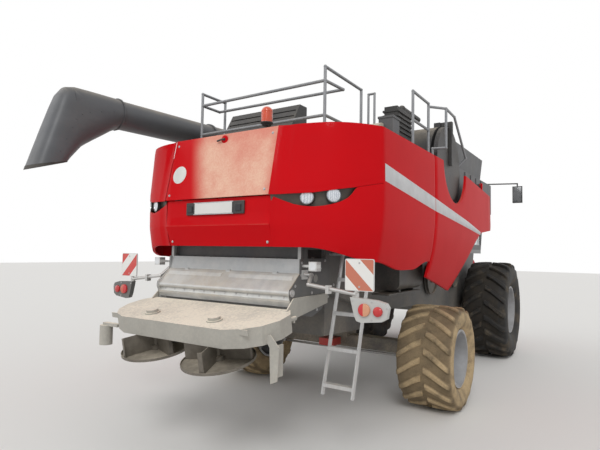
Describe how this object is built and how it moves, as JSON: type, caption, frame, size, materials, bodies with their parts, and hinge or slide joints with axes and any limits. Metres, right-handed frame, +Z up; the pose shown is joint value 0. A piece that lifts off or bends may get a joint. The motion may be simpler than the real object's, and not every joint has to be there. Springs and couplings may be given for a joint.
{
  "type": "combine harvester",
  "caption": "Walker combine harvester without its header, parked: hollow cab, grain tank, folded unloading auger, feeder house, straw chopper and chaff spreader.",
  "frame": {"origin": "on the ground under the middle of the machine's overall box", "axes": "+Y is forward, towards the feeder house; +X is the machine's right; +Z is up"},
  "size_m": [3.7819, 9.6501, 3.9705],
  "materials": {
    "body_red": "glossy red enamel with fine dust",
    "frame_grey": "satin grey sheet metal",
    "chassis_black": "satin chassis black",
    "plated_steel": "zinc plated tube",
    "tyre": "black rubber, dusty on the tread",
    "rim_silver": "silver rim paint",
    "tank_grey": "dark grey sheet",
    "engine_grey": "cast and dusty",
    "dark_plastic": "dark moulded covers",
    "screen_mesh": "fine dark mesh",
    "deck_grey": "grey tread plate",
    "auger_grey": "dark grey tube",
    "cab_dark": "dark cab frame",
    "roof_light": "light roof shell",
    "cab_glass": "tinted glass",
    "cab_trim": "cab trim",
    "seat_cloth": "dark grey seat cloth",
    "chrome_rod": "chromed rod",
    "galvanised": "galvanised sheet",
    "knife_steel": "worn steel",
    "spreader_paint": "light grey paint under dust",
    "ladder_alu": "bare aluminium",
    "lamp_lens": "lamp lenses",
    "hitch_red": "worn red paint"
  },
  "bodies": {
    "root": {"main_frame": "frame_grey", "hood_upper": "body_red", "hood_lower": "body_red", "rear_panels": "body_red", "front_axle": "chassis_black", "rear_axle": "chassis_black", "grain_tank": "tank_grey", "tank_extension": "tank_grey", "engine_block": "engine_grey", "radiator_box": "dark_plastic", "engine_deck": "deck_grey", "engine_cover": "dark_plastic", "air_intake": "dark_plastic", "deck_rails": "plated_steel", "auger_turret": "auger_grey", "cab_frame": "cab_dark", "cab_roof": "roof_light", "cab_glass": "cab_glass", "cab_interior": "cab_trim", "driver_seat": "seat_cloth", "cab_platform": "deck_grey", "mirrors": "dark_plastic", "chopper": "galvanised", "spreader_deck": "spreader_paint", "sieve_box": "galvanised", "rear_ladder": "ladder_alu", "lamp_arms": "plated_steel", "lamp_recess": "dark_plastic", "lamps": "lamp_lens", "tow_hitch": "hitch_red", "fuel_tank": "dark_plastic", "deck_boxes": "deck_grey", "drive_pulleys": "chassis_black", "cab_ladder": "plated_steel"},
    "knuckle_left": {"knuckle_left": "chassis_black"},
    "knuckle_right": {"knuckle_right": "chassis_black"},
    "tie_rod": {"tie_rod": "plated_steel"},
    "wheel_front_left": {"tyre_front_left": "tyre", "rim_front_left": "rim_silver"},
    "wheel_front_right": {"tyre_front_right": "tyre", "rim_front_right": "rim_silver"},
    "wheel_rear_left": {"tyre_rear_left": "tyre", "rim_rear_left": "rim_silver"},
    "wheel_rear_right": {"tyre_rear_right": "tyre", "rim_rear_right": "rim_silver"},
    "side_panel_left": {"side_panel_left": "body_red"},
    "side_panel_right": {"side_panel_right": "body_red"},
    "feeder": {"feeder_house": "body_red", "feeder_chain": "plated_steel"},
    "lift_barrels": {"lift_barrels": "chassis_black"},
    "lift_rods": {"lift_rods": "chrome_rod"},
    "unloading_auger": {"auger_tube": "auger_grey", "auger_spout": "auger_grey"},
    "cab_door": {"cab_door": "cab_dark", "door_glass": "cab_glass"},
    "chopper_rotor": {"chopper_rotor": "knife_steel"},
    "spreader_rotor_left": {"spreader_rotor_left": "knife_steel"},
    "spreader_rotor_right": {"spreader_rotor_right": "knife_steel"},
    "radiator_screen": {"radiator_screen": "screen_mesh"}
  },
  "joints": [
    {"name": "steer_left", "type": "hinge", "parent": "root", "child": "knuckle_left", "pos_m": [-1.09, -1.1, 0.71], "axis": [0, 0, 1], "range_deg": [-30, 30]},
    {"name": "steer_right", "type": "hinge", "parent": "root", "child": "knuckle_right", "pos_m": [1.09, -1.1, 0.71], "axis": [0, 0, 1], "range_deg": [-30, 30]},
    {"name": "tie_rod_pivot", "type": "hinge", "parent": "knuckle_left", "child": "tie_rod", "pos_m": [-1.09, -0.89, 0.535], "axis": [0, 0, 1], "range_deg": [-30, 30]},
    {"name": "wheel_front_left_spin", "type": "hinge", "parent": "root", "child": "wheel_front_left", "pos_m": [-1.38, 2.8, 0.915], "axis": [1, 0, 0], "continuous": true},
    {"name": "wheel_front_right_spin", "type": "hinge", "parent": "root", "child": "wheel_front_right", "pos_m": [1.38, 2.8, 0.915], "axis": [1, 0, 0], "continuous": true},
    {"name": "wheel_rear_left_spin", "type": "hinge", "parent": "knuckle_left", "child": "wheel_rear_left", "pos_m": [-1.49, -1.1, 0.65], "axis": [1, 0, 0], "continuous": true},
    {"name": "wheel_rear_right_spin", "type": "hinge", "parent": "knuckle_right", "child": "wheel_rear_right", "pos_m": [1.49, -1.1, 0.65], "axis": [1, 0, 0], "continuous": true},
    {"name": "side_panel_left_lift", "type": "hinge", "parent": "root", "child": "side_panel_left", "pos_m": [-1.53, 0, 3.176], "axis": [0, 1, 0], "range_deg": [0, 75]},
    {"name": "side_panel_right_lift", "type": "hinge", "parent": "root", "child": "side_panel_right", "pos_m": [1.53, 0, 3.176], "axis": [0, -1, 0], "range_deg": [0, 75]},
    {"name": "feeder_lift", "type": "hinge", "parent": "root", "child": "feeder", "pos_m": [0, 3.48, 1.89], "axis": [1, 0, 0], "range_deg": [-14, 8]},
    {"name": "lift_barrel_pivot", "type": "hinge", "parent": "root", "child": "lift_barrels", "pos_m": [0, 3.03, 0.8], "axis": [1, 0, 0], "range_deg": [-7.93, 4.75]},
    {"name": "lift_rod_slide", "type": "slide", "parent": "lift_barrels", "child": "lift_rods", "axis": [0, 0.9999, 0.0127], "range_m": [-0.2737, 0.1585]},
    {"name": "auger_swing", "type": "hinge", "parent": "root", "child": "unloading_auger", "pos_m": [-1.65, 2.18, 3.315], "axis": [-0.196, 0.03, -0.9801], "range_deg": [0, 100]},
    {"name": "cab_door_swing", "type": "hinge", "parent": "root", "child": "cab_door", "pos_m": [-0.898, 4.048, 2.815], "axis": [0, 0, -1], "range_deg": [0, 80]},
    {"name": "chopper_spin", "type": "hinge", "parent": "root", "child": "chopper_rotor", "pos_m": [0, -3.23, 1.7], "axis": [1, 0, 0], "continuous": true},
    {"name": "spreader_left_spin", "type": "hinge", "parent": "root", "child": "spreader_rotor_left", "pos_m": [-0.417, -4.15859, 1.33425], "axis": [0, -0.1959, 0.9806], "continuous": true},
    {"name": "spreader_right_spin", "type": "hinge", "parent": "root", "child": "spreader_rotor_right", "pos_m": [0.417, -4.15859, 1.33425], "axis": [0, -0.1959, 0.9806], "continuous": true},
    {"name": "radiator_screen_spin", "type": "hinge", "parent": "root", "child": "radiator_screen", "pos_m": [1.434, -0.59, 3.24], "axis": [1, 0, 0], "continuous": true}
  ],
  "couplings": [
    {"joint": "steer_right", "follows": "steer_left", "ratio": 1},
    {"joint": "tie_rod_pivot", "follows": "steer_left", "ratio": -1},
    {"joint": "lift_barrel_pivot", "follows": "feeder_lift", "ratio": 0.531},
    {"joint": "lift_rod_slide", "follows": "feeder_lift", "m_per_rad": 1.0996}
  ]
}
